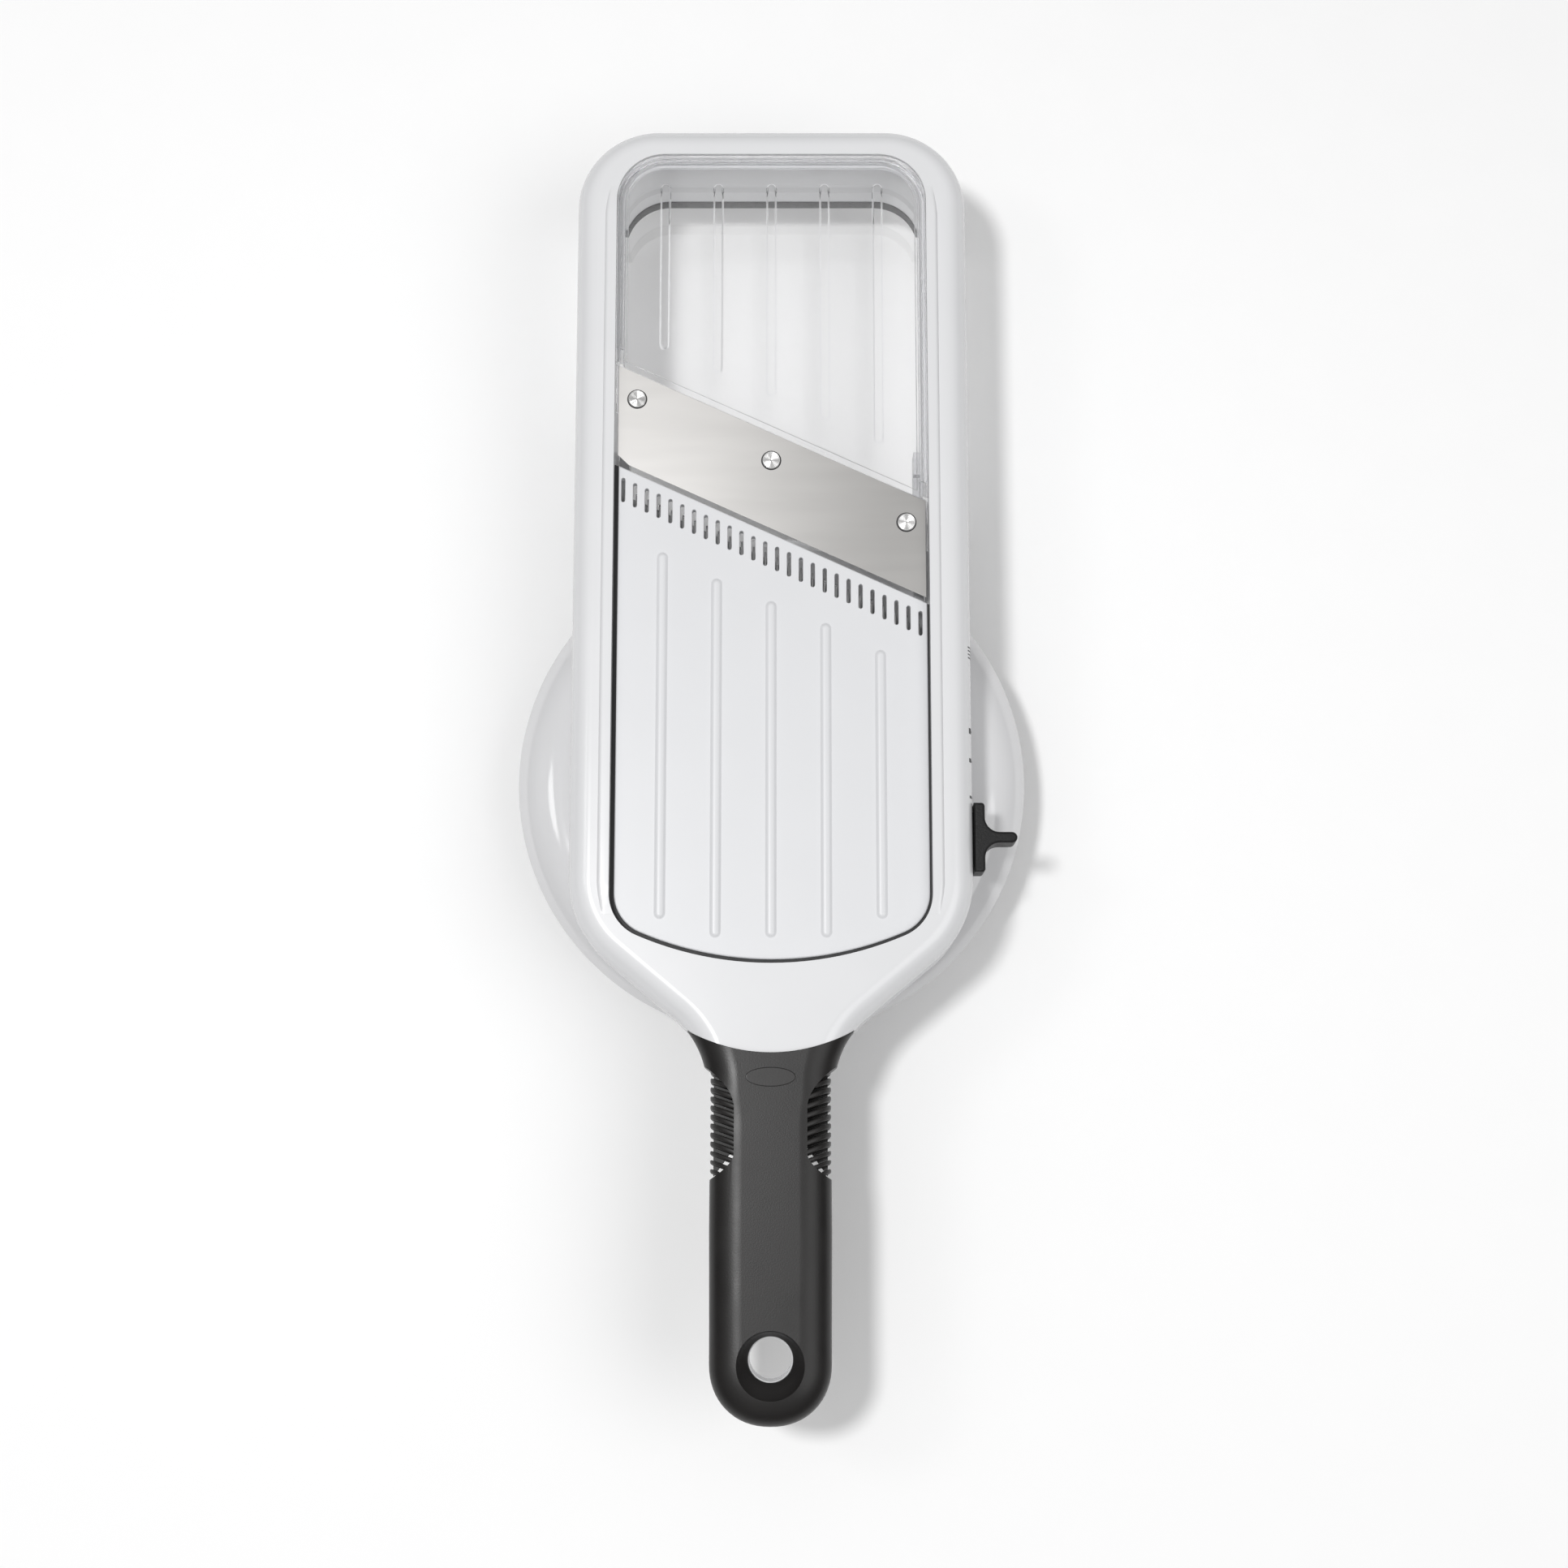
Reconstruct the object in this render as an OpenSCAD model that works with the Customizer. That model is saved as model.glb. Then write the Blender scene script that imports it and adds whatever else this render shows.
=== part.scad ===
// Handheld mandoline slicer, standing level on the knob of its own food holder.
// Millimetres. +X right, +Y towards the far end of the runway, +Z up, floor at z = 0.

/* [Frame] */
// half width of the outer frame
frame_half_w = 53; // [52.6:0.1:53.2]
// radius of the far corners of the frame
far_corner_r = 22; // [20:0.5:24]
// radius of the rounded upper rim
rim_r = 6; // [4:0.5:6.5]
// height of the frame's lower edge
frame_bottom = 31; // [31:0.1:31.2]
// height of the frame's top face
frame_top = 54.2; // [54:0.1:54.6]
// height of the raised bead beside the runway
bead_top = 55; // [54.8:0.1:55.4]
// wall thickness of the frame
wall = 2.2; // [1.9:0.1:2.3]

/* [Runway] */
// half width of the opening in the frame
open_half_w = 42.1; // [42:0.05:42.2]
// height of the blade and ramp surface
runway_z = 51; // [50.8:0.1:51.2]
// gap between the deck and the opening
deck_gap = 0.45; // [0.35:0.05:0.7]
// thickness of the deck plate
deck_t = 2.5; // [2:0.1:2.6]
// width of the long ridges
ridge_w = 3; // [2:0.2:3.6]
// thickness of the clear ramp
ramp_t = 2.6; // [2:0.1:3]

/* [Blade] */
// thickness of the blade
blade_t = 0.9; // [0.6:0.1:1]
// radius of the rivet heads
rivet_head_r = 2.7; // [2.2:0.1:3]

/* [Adjuster] */
// travel of the thumb lever from lock to the last stop
lever_travel = 48.6; // [46:0.2:48.6]
// how far the deck drops over the whole lever travel
deck_drop = 6.8; // [6:0.1:6.8]
// how far the julienne comb rises over the whole lever travel
comb_lift = 6.4; // [6:0.1:6.4]
// radius of the steel guide pins
pin_r = 1.5; // [1.4:0.05:1.5]
// radial clearance of a pin in its slot
pin_play = 0.05; // [0.03:0.01:0.08]

/* [Julienne comb] */
// number of julienne blades
comb_count = 26; // [20:1:26]
// distance between two julienne blades
comb_pitch = 3.175; // [3.1:0.025:3.2]

/* [Grip] */
// half width of the grip
grip_half_w = 15.6; // [15:0.1:16]
// radius of the hang hole
hang_r = 5.4; // [5:0.1:5.6]
// number of flexible fins on each side of the grip
fin_count = 12; // [8:1:12]

/* [Food holder] */
// radius of the brim
brim_r = 69.3; // [67:0.1:70]
// thickness of the brim
brim_t = 2.2; // [1.8:0.1:2.4]
// radius of the knob's crown
crown_r = 34; // [32:0.5:36]
// radius of a prong
prong_r = 0.75; // [0.6:0.05:0.9]

/* [Hidden] */

smooth = 96;
small = 32;
over = 0.5;

far_y = 173.5;
corner_y = far_y - far_corner_r;
corner_x = frame_half_w - far_corner_r;
open_far_y = 165.3;
open_corner_r = 13;
open_near_y = -56.7;
near_arc_r = 88;
near_corner_r = 12;
shoulder_r = 28;
shoulder_x = frame_half_w - shoulder_r;
shoulder_y = -34;
shoulder_turn = 50;
taper_len = 34;
taper_half = shoulder_r - 0.3;
bead_w = 2.9;
grip_joint_r = 43;
grip_joint_y = -36.7;

cavity_in = 44.4;
cavity_out = 50.9;
cavity_top = 51.6;
foot_z = 20;
foot_in = 0.5;
foot_out = 2.6;
foot_y = 156;

blade_slope = 0.46;
blade_angle = atan(blade_slope);
blade_far_y = 86.8;
blade_near_y = 60.2;
blade_half_w = 41.3;
rivet_x = [-36.2, 0, 36.2];
rivet_hole_r = 1.5;
ramp_tuck = 13;
deck_edge_y = 58.7;

cam_in = 45.2;
cam_out = 48;
cam_low = 32.7;
cam_high = 49.8;
cam_near = -46.3;
cam_far = 85.2;
near_pin_y = 8.5;
near_pin_z = 46.5;
mid_pin_y = 26.5;
mid_pin_z = 42.5;
comb_pin_y = 82;
comb_pin_z = 36;
comb_low = 31.6;
comb_t = 3.8;
comb_mid_y = 52.4;
comb_slope = 0.4625;
comb_half = 3.03;
lug_in = 38.4;
lug_half = 2;
tie_y0 = -46;
tie_y1 = -42.6;
tie_z0 = 37.6;
tie_z1 = 40.4;
tie_mid_y = (tie_y0 + tie_y1) / 2;
tie_mid_z = (tie_z0 + tie_z1) / 2;
lever_y = -23.2;
lever_screw_y = [lever_y - 5, lever_y + 5];
lever_screw_z = 46.1;

grip_z = 46;
grip_t = 18;
grip_end_y = -157.9;
hang_y = -156.8;
tang_half_w = 7.5;
tang_z0 = 42;
tang_z1 = 50;
ring_r = 7;
ring_z0 = 38;
ring_z1 = 51;
dish_r = 8.8;

holder_y = -4.3;
brim_top = 30.8;
brim_flat_r = 52;
prong_top = 37;
prong_rings = [[10, 5], [22, 10]];
holder_screw_r = 31;
holder_screw_turn = [30, 150, 270];

ridge_x = [-29, -14.5, 0, 14.5, 29];
deck_ridge_far = [53.5, 46.3, 40.1, 34.1, 26.8];
deck_ridge_near = [-45, -49.9, -49.9, -49.9, -45];
ramp_ridge_near = [110.5, 103.8, 97.1, 90.5, 83.9];
ramp_ridge_far = 158.3;
cover_screw_x = 50;
cover_screw_y = [60, 100, 140];
tab_x = [-15, 15];
ledge_x = 41;

// white, charcoal, steel, clear and black
white = [0.93, 0.94, 0.95];
charcoal = [0.2, 0.2, 0.21];
steel = [0.7, 0.71, 0.73];
clear_grey = [0.8, 0.8, 0.86, 0.5];
black = [0.07, 0.07, 0.08];

// ---- shared outlines ----

// half of the frame's section: a slab of the given half width with a rounded upper rim
module slab_section(half, low = frame_bottom) {
    translate([0, low])
        square([half - rim_r, frame_top - low]);
    translate([0, low])
        square([half, frame_top - rim_r - low]);
    translate([half - rim_r, frame_top - rim_r])
        circle(r = rim_r, $fn = smooth);
}

// plan of the opening that the deck and ramp lie in, made smaller by gap
module opening_plan(gap) {
    half = open_half_w - gap;
    r_far = open_corner_r - gap;
    r_near = near_corner_r - gap;
    far = open_far_y - gap;
    near_x = half - r_near;
    near_c = open_near_y + near_arc_r;
    near_y = near_c - sqrt(pow(near_arc_r - near_corner_r, 2) - pow(near_x, 2));
    tie_x = near_x * near_arc_r / (near_arc_r - near_corner_r);
    translate([-half, near_y])
        square([2 * half, far - r_far - near_y]);
    translate([-(half - r_far), near_y])
        square([2 * (half - r_far), far - near_y]);
    for (side = [-1, 1]) {
        translate([side * (half - r_far), far - r_far])
            circle(r = r_far, $fn = smooth);
        translate([side * near_x, near_y])
            circle(r = r_near, $fn = smooth);
    }
    intersection() {
        translate([0, near_c])
            circle(r = near_arc_r - gap, $fn = 240);
        translate([-tie_x, open_near_y - over])
            square([2 * tie_x, near_y - open_near_y + 2 * over]);
    }
}

// plan of everything on the far side of a line parallel to the blade through [0, y]
module beyond_line(y) {
    polygon([[-60, y + 60 * blade_slope], [60, y - 60 * blade_slope], [60, 200], [-60, 200]]);
}

// plan of everything on the near side of a line parallel to the blade through [0, y]
module before_line(y) {
    polygon([[-60, y + 60 * blade_slope], [60, y - 60 * blade_slope], [60, -100], [-60, -100]]);
}

// band round the far end of the opening, from inner to outer outside it
module foot_band(inner, outer, z0, z1) {
    translate([0, 0, z0])
        linear_extrude(height = z1 - z0)
            difference() {
                opening_plan(-outer);
                opening_plan(-inner);
                translate([-60, -100])
                    square([120, foot_y + 100]);
            }
}

// a round bar along X from x0 to x1
module bar_x(x0, x1, y, z, r) {
    translate([x0, y, z])
        rotate([0, 90, 0])
            cylinder(r = r, h = x1 - x0, $fn = small);
}

// a slot through X, from [y, z] running towards -Y by travel while it climbs by rise
module cam_slot(x0, x1, y, z, rise) {
    slot_r = pin_r + pin_play;
    tilt = atan2(rise, -lever_travel);
    run = sqrt(pow(lever_travel, 2) + pow(rise, 2));
    bar_x(x0, x1, y, z, slot_r);
    bar_x(x0, x1, y - lever_travel, z + rise, slot_r);
    translate([x0, y, z])
        rotate([tilt, 0, 0])
            translate([0, 0, -slot_r])
                cube([x1 - x0, run, 2 * slot_r]);
}

// an upright guide slot through X, from z0 to z1
module guide_slot(x0, x1, y, z0, z1) {
    slot_r = pin_r + pin_play;
    bar_x(x0, x1, y, z0, slot_r);
    bar_x(x0, x1, y, z1, slot_r);
    translate([x0, y - slot_r, z0])
        cube([x1 - x0, 2 * slot_r, z1 - z0]);
}

// ---- frame ----

// one side of the solid frame body before it is hollowed
module frame_side() {
    // straight side
    translate([0, corner_y, 0])
        rotate([90, 0, 0])
            linear_extrude(height = corner_y - shoulder_y)
                slab_section(frame_half_w);
    // far corner
    translate([corner_x, corner_y, 0])
        rotate_extrude($fn = smooth)
            slab_section(far_corner_r);
    // shoulder
    translate([shoulder_x, shoulder_y, 0])
        rotate_extrude($fn = smooth)
            slab_section(shoulder_r);
    // taper towards the grip
    translate([shoulder_x, shoulder_y, 0])
        rotate([0, 0, -shoulder_turn])
            rotate([90, 0, 0])
                linear_extrude(height = taper_len)
                    slab_section(taper_half, frame_bottom + 0.4);
}

module frame_body() {
    for (side = [0, 1])
        mirror([side, 0, 0])
            frame_side();
    // far end between the corners
    translate([-corner_x, corner_y, 0])
        rotate([90, 0, 90])
            linear_extrude(height = 2 * corner_x)
                slab_section(far_corner_r);
    // web between the opening and the grip
    translate([0, 0, frame_bottom])
        linear_extrude(height = frame_top - frame_bottom)
            polygon([[46, -30], [44.5, -42], [38, -50], [30, -58], [12, -72.6], [8, -81],
                     [-8, -81], [-12, -72.6], [-30, -58], [-38, -50], [-44.5, -42], [-46, -30]]);
    // beads beside the runway
    for (side = [0, 1])
        mirror([side, 0, 0])
            translate([open_half_w - 1, -38, frame_top - 1])
                cube([bead_w + 1, 187, bead_top - frame_top + 1]);
}

// hollows of one side: rail, shoulder, guide slots and lever slot on the right only
module frame_side_hollows(is_right) {
    translate([cavity_in, -41.5, frame_bottom - over])
        cube([cavity_out - cavity_in, 189, cavity_top - frame_bottom + over]);
    translate([cavity_in, -46.8, frame_bottom - over])
        cube([4.5, 10, cavity_top - frame_bottom + over]);
    translate([0, 0, frame_bottom - over])
        linear_extrude(height = cavity_top - frame_bottom + over)
            polygon([[2, -61], [20, -58.4], [33, -54.2], [37.5, -54.6], [39.3, -55.6],
                     [20.3, -70.6], [2, -75]]);
    translate([3, 168.6, frame_bottom - over])
        cube([25, 2.6, cavity_top - frame_bottom + over]);
    // room for the heads of the cover screws
    for (y = cover_screw_y)
        translate([cover_screw_x, y, frame_bottom - over])
            cylinder(r = 1.75, h = over + 0.9, $fn = small);
    // window for the cross tie
    translate([36, -46.5, tie_z0 - 0.3])
        cube([9, 53.5, tie_z1 - tie_z0 + 0.6]);
    guide_slot(41, 45, near_pin_y, near_pin_z - deck_drop, near_pin_z);
    guide_slot(41, 45, mid_pin_y, mid_pin_z - deck_drop, mid_pin_z);
    guide_slot(41, 45, comb_pin_y, comb_pin_z, comb_pin_z + comb_lift);
    if (is_right)
        translate([cavity_out - 1, -30.8, 44.3])
            cube([5, 63.2, 3.6]);
}

module frame_shell() {
    color(white) {
        difference() {
            frame_body();
            translate([0, 0, frame_bottom - over])
                linear_extrude(height = 40)
                    opening_plan(0);
            frame_side_hollows(true);
            mirror([1, 0, 0])
                frame_side_hollows(false);
            // the underside rises towards the grip
            translate([-60, -60.5, frame_bottom])
                rotate([-15, 0, 0])
                    translate([0, -60, -30])
                        cube([120, 60, 30]);
            // round end that the grip closes on
            difference() {
                translate([-60, -140, 0])
                    cube([120, 80, 80]);
                translate([0, grip_joint_y, 0])
                    cylinder(r = grip_joint_r, h = 80, $fn = 240);
            }
        }
        // tang and hang ring inside the grip
        difference() {
            tang();
            translate([0, hang_y, 0])
                cylinder(r = hang_r, h = 80, $fn = smooth);
        }
        // foot wall under the far end
        foot_band(foot_in, foot_out, foot_z, frame_bottom + 1);
        for (side = [-1, 1]) {
            // ledges that carry the clear ramp
            translate([side > 0 ? ledge_x : -open_half_w - 0.2, side > 0 ? 84 : 108, 46.4])
                cube([open_half_w + 0.2 - ledge_x, side > 0 ? 66 : 42, runway_z - ramp_t - 46.4]);
            // bosses for the cover screws
            for (y = cover_screw_y)
                difference() {
                    translate([side * cover_screw_x, y, 32.6])
                        cylinder(r = 1.7, h = cavity_top - 32.6 + 0.4, $fn = small);
                    translate([side * cover_screw_x, y, 32])
                        cylinder(r = 0.85, h = 9, $fn = small);
                }
        }
        // rails that keep the deck's near tabs upright
        for (x = tab_x)
            for (side = [-1, 1])
                translate([x + side * 4.2 - 0.8, open_near_y - 0.8, frame_bottom])
                    cube([1.6, 4, 41.8 - frame_bottom]);
    }
}

module tang() {
    translate([-tang_half_w, hang_y, tang_z0])
        cube([2 * tang_half_w, -74 - hang_y, tang_z1 - tang_z0]);
    translate([0, hang_y, ring_z0])
        cylinder(r = ring_r, h = ring_z1 - ring_z0, $fn = smooth);
}

// upright stadium section of the grip
module grip_section(half, thick) {
    r = thick / 2;
    for (side = [-1, 1])
        translate([side * (half - r), grip_z])
            circle(r = r, $fn = small);
    translate([-(half - r), grip_z - r])
        square([2 * (half - r), thick]);
}

module grip_slice(y, half, thick) {
    translate([0, y, 0])
        rotate([90, 0, 0])
            linear_extrude(height = 0.1)
                grip_section(half, thick);
}

module handle_grip() {
    fin_pitch = 27.7 / fin_count;
    color(charcoal)
        difference() {
            union() {
                translate([0, -92, 0])
                    rotate([90, 0, 0])
                        linear_extrude(height = -92 - grip_end_y)
                            grip_section(grip_half_w, grip_t);
                translate([0, grip_end_y, 0])
                    rotate([0, 0, 180])
                        rotate_extrude(angle = 180, $fn = smooth)
                            intersection() {
                                grip_section(grip_half_w, grip_t);
                                square([40, 80]);
                            }
                hull() {
                    grip_slice(-73.6, 21.2, 18.6);
                    grip_slice(-78.6, 18.2, 18.2);
                }
                hull() {
                    grip_slice(-78.6, 18.2, 18.2);
                    grip_slice(-84, 16.6, grip_t);
                }
                hull() {
                    grip_slice(-84, 16.6, grip_t);
                    grip_slice(-92, grip_half_w, grip_t);
                }
            }
            // seat against the frame
            translate([0, grip_joint_y, 0])
                cylinder(r = grip_joint_r, h = 80, $fn = 240);
            tang();
            // hang hole and its dish
            translate([0, hang_y, 0])
                cylinder(r = hang_r + 0.3, h = 80, $fn = smooth);
            translate([0, hang_y, 52.2])
                cylinder(r1 = hang_r + 0.3, r2 = dish_r, h = 3, $fn = smooth);
            // gaps between the fins, shallower towards both ends of the pocket, with a web left in them
            difference() {
                for (side = [0, 1])
                    mirror([side, 0, 0])
                        for (i = [0 : fin_count]) {
                            along = abs(i / fin_count - 0.5) * 2;
                            depth_x = 9.4 + 5.4 * pow(along, 4);
                            translate([depth_x, -84.6 - i * fin_pitch, 30])
                                cube([20, fin_pitch * 0.55, 30]);
                        }
                translate([-13.6, -113, grip_z - 1.2])
                    cube([27.2, 31, 2.4]);
            }
        }
}

// cover strip under the right rail
module rail_cover() {
    difference() {
        translate([cavity_in + 0.1, -41, frame_bottom])
            cube([cavity_out - cavity_in - 0.2, 187, 1.4]);
        for (y = cover_screw_y) {
            translate([cover_screw_x, y, frame_bottom - over])
                cylinder(r = 0.9, h = 3, $fn = small);
            translate([cover_screw_x, y, frame_bottom - over])
                cylinder(r = 1.75, h = over + 0.7, $fn = small);
        }
    }
}

module left_rail_cover() {
    color(white)
        mirror([1, 0, 0])
            rail_cover();
}

module right_rail_cover() {
    color(white)
        rail_cover();
}

module cover_screws() {
    color(steel)
        for (side = [-1, 1])
            for (y = cover_screw_y)
                translate([side * cover_screw_x, y, frame_bottom + 0.05]) {
                    cylinder(r = 0.8, h = 8.5, $fn = small);
                    difference() {
                        cylinder(r = 1.65, h = 0.65, $fn = small);
                        translate([-0.2, -1.2, -0.1])
                            cube([0.4, 2.4, 0.4]);
                        translate([-1.2, -0.2, -0.1])
                            cube([2.4, 0.4, 0.4]);
                    }
                }
}

module clear_ramp() {
    fit = 0.15;
    rim_w = 1.9;
    rim_top = 53.6;
    color(clear_grey)
        difference() {
            union() {
                // floor of the ramp
                translate([0, 0, runway_z - ramp_t])
                    linear_extrude(height = ramp_t)
                        intersection() {
                            opening_plan(fit);
                            beyond_line(blade_far_y - ramp_tuck);
                        }
                // raised edge
                translate([0, 0, runway_z - over])
                    linear_extrude(height = rim_top - runway_z + over)
                        difference() {
                            intersection() {
                                opening_plan(fit);
                                beyond_line(blade_far_y);
                            }
                            opening_plan(fit + rim_w);
                        }
                for (i = [0 : 4])
                    translate([ridge_x[i] - ridge_w / 2, ramp_ridge_near[i], runway_z - over])
                        cube([ridge_w, ramp_ridge_far - ramp_ridge_near[i], over + 0.6]);
                // rib that stiffens the ramp under the blade
                translate([0, 0, 45.6])
                    linear_extrude(height = 4)
                        intersection() {
                            square([76, 400], center = true);
                            beyond_line(blade_far_y - ramp_tuck);
                            before_line(blade_far_y - ramp_tuck + 1.6);
                        }
            }
            // seat of the blade
            translate([0, 0, runway_z - blade_t])
                linear_extrude(height = 10)
                    before_line(blade_far_y + 0.2);
            for (x = rivet_x)
                translate([x, rivet_y(x), 40])
                    cylinder(r = rivet_hole_r, h = 20, $fn = small);
        }
}

function rivet_y(x) = 79.1 - 0.475 * x;

module cutting_blade() {
    color(steel)
        difference() {
            translate([0, 0, runway_z - blade_t])
                linear_extrude(height = blade_t)
                    polygon([[-blade_half_w, blade_far_y + blade_half_w * blade_slope],
                             [blade_half_w, blade_far_y - blade_half_w * blade_slope],
                             [blade_half_w, blade_near_y - blade_half_w * blade_slope],
                             [-blade_half_w + 3, blade_near_y + (blade_half_w - 3) * blade_slope],
                             [-blade_half_w, blade_near_y + blade_half_w * blade_slope + 1.5]]);
            // ground bevel under the sharp edge
            translate([0, blade_near_y, runway_z - 0.05])
                rotate([0, 0, -blade_angle])
                    rotate([-14, 0, 0])
                        translate([-60, -10, -5])
                            cube([120, 30, 5]);
            for (x = rivet_x)
                translate([x, rivet_y(x), 40])
                    cylinder(r = rivet_hole_r, h = 20, $fn = small);
        }
}

module blade_rivets() {
    low = runway_z - ramp_t;
    color(steel)
        for (x = rivet_x)
            translate([x, rivet_y(x), 0]) {
                translate([0, 0, low - 0.8])
                    cylinder(r = 1.45, h = runway_z - low + 1, $fn = small);
                translate([0, 0, runway_z])
                    cylinder(r1 = rivet_head_r, r2 = rivet_head_r - 0.3, h = 0.4, $fn = small);
                translate([0, 0, low - 0.9])
                    cylinder(r = 2.4, h = 0.9, $fn = small);
            }
}

module tip_foot() {
    color(black)
        difference() {
            foot_band(foot_in - 0.9, foot_out + 0.9, foot_z - 2.4, foot_z + 2);
            foot_band(foot_in, foot_out, foot_z, foot_z + 5);
        }
}

// leaf pressed down to the height it has between two notches
module detent_spring() {
    color(steel) {
        translate([cam_in + 0.4, 36, cavity_top - 0.5])
            cube([2, 14, 0.5]);
        translate([cam_in + 0.4, 42.2, cam_high + 0.1])
            cube([2, 1.6, cavity_top - 0.4 - cam_high - 0.1]);
    }
}

// ---- deck ----

module runway_deck() {
    top = runway_z + 0.5;
    color(white)
        difference() {
            union() {
                translate([0, 0, top - deck_t])
                    linear_extrude(height = deck_t)
                        intersection() {
                            opening_plan(deck_gap);
                            before_line(deck_edge_y);
                        }
                for (i = [0 : 4])
                    translate([ridge_x[i] - ridge_w / 2, deck_ridge_near[i], top - over])
                        cube([ridge_w, deck_ridge_far[i] - deck_ridge_near[i], over + 0.6]);
                // lugs that hold the guide pins
                for (side = [0, 1])
                    mirror([side, 0, 0]) {
                        translate([lug_in, near_pin_y - lug_half, near_pin_z - 2.3])
                            cube([41.6 - lug_in, 2 * lug_half, top - 1 - near_pin_z + 2.3]);
                        translate([lug_in, mid_pin_y - lug_half, mid_pin_z - 2.3])
                            cube([41.6 - lug_in, 2 * lug_half, top - 1 - mid_pin_z + 2.3]);
                    }
                // tabs at the near end that keep the deck level
                for (x = tab_x)
                    translate([x - 3, -54.6, 38.2])
                        cube([6, 1.8, top - 1 - 38.2]);
                // stiffening ribs
                for (x = [-22, 0, 22])
                    translate([x - 0.8, -48, top - deck_t - 1.4])
                        cube([1.6, 78, 2]);
            }
            // slots for the julienne blades
            for (i = [0 : comb_count - 1])
                translate([comb_x(i) - 0.55, comb_y(i) - 3.35, 40])
                    cube([1.1, 6.7, 20]);
            for (side = [0, 1])
                mirror([side, 0, 0]) {
                    bar_x(lug_in - 1, 42, near_pin_y, near_pin_z, pin_r);
                    bar_x(lug_in - 1, 42, mid_pin_y, mid_pin_z, pin_r);
                }
        }
}

function comb_x(i) = (i - (comb_count - 1) / 2) * comb_pitch;
function comb_y(i) = comb_mid_y - comb_slope * comb_x(i);

module follower_pins() {
    color(steel)
        for (side = [0, 1])
            mirror([side, 0, 0]) {
                bar_x(lug_in, cam_out - 0.1, near_pin_y, near_pin_z, pin_r);
                bar_x(lug_in, cam_out - 0.1, mid_pin_y, mid_pin_z, pin_r);
            }
}

// ---- cam carriage ----

module cam_plate() {
    difference() {
        translate([cam_in, cam_near, cam_low])
            cube([cam_out - cam_in, cam_far - cam_near, cam_high - cam_low]);
        // the near end is cut low to clear the round corner of the frame
        translate([cam_in - 1, cam_near - 1, 43.2])
            cube([6, 2.6, 10]);
        cam_slot(cam_in - 1, cam_out + 1, near_pin_y, near_pin_z, -deck_drop);
        cam_slot(cam_in - 1, cam_out + 1, mid_pin_y, mid_pin_z, -deck_drop);
        cam_slot(cam_in - 1, cam_out + 1, comb_pin_y, comb_pin_z, comb_lift);
        bar_x(cam_in - 1, cam_out + 1, tie_mid_y, tie_mid_z, 1.05);
        // notches for the detent
        for (stop = [0, 9.7, 19.5, 27.4, 48.6])
            bar_x(cam_in - 1, cam_out + 1, 43 - stop, cam_high + 0.6, 1.4);
    }
}

module left_cam_plate() {
    color(white)
        mirror([1, 0, 0])
            cam_plate();
}

module right_cam_plate() {
    color(white)
        difference() {
            cam_plate();
            for (y = lever_screw_y)
                bar_x(cam_in - 1, cam_out + 1, y, lever_screw_z, 0.8);
        }
}

module cam_cross_tie() {
    color(steel)
        difference() {
            translate([-cam_in, tie_y0, tie_z0])
                cube([2 * cam_in, tie_y1 - tie_y0, tie_z1 - tie_z0]);
            for (side = [0, 1])
                mirror([side, 0, 0])
                    bar_x(cam_in - 6, cam_in + 1, tie_mid_y, tie_mid_z, 1.05);
        }
}

module tie_screws() {
    color(steel)
        for (side = [0, 1])
            mirror([side, 0, 0]) {
                bar_x(cam_in - 5.5, cam_out + 0.2, tie_mid_y, tie_mid_z, 1);
                bar_x(cam_out + 0.05, cam_out + 0.75, tie_mid_y, tie_mid_z, 1.5);
            }
}

module thickness_lever() {
    plate_x = 53.3;
    plate_t = 2.9;
    color(black)
        difference() {
            union() {
                translate([cam_out, lever_y - 7, 44.6])
                    cube([plate_x - cam_out + 1, 14, 3]);
                translate([plate_x, lever_y - 9.2, 41])
                    cube([plate_t, 18.4, 9.2]);
                translate([plate_x + 1, lever_y - 1.4, 41.4])
                    cube([9, 2.8, 8.4]);
                translate([plate_x + 10, lever_y, 41.4])
                    cylinder(r = 1.4, h = 8.4, $fn = small);
                // fillets at the root of the tab
                translate([plate_x + 2, lever_y - 2.6, 41.4])
                    cube([2, 5.2, 8.4]);
            }
            for (y = lever_screw_y) {
                bar_x(cam_out - 1, 60, y, lever_screw_z, 0.8);
                bar_x(plate_x + plate_t - 0.9, 60, y, lever_screw_z, 1.7);
            }
        }
}

module lever_screws() {
    color(steel)
        for (y = lever_screw_y) {
            bar_x(cam_in + 0.3, 55.5, y, lever_screw_z, 0.78);
            bar_x(55.35, 56.05, y, lever_screw_z, 1.6);
        }
}

// ---- julienne comb ----

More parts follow.
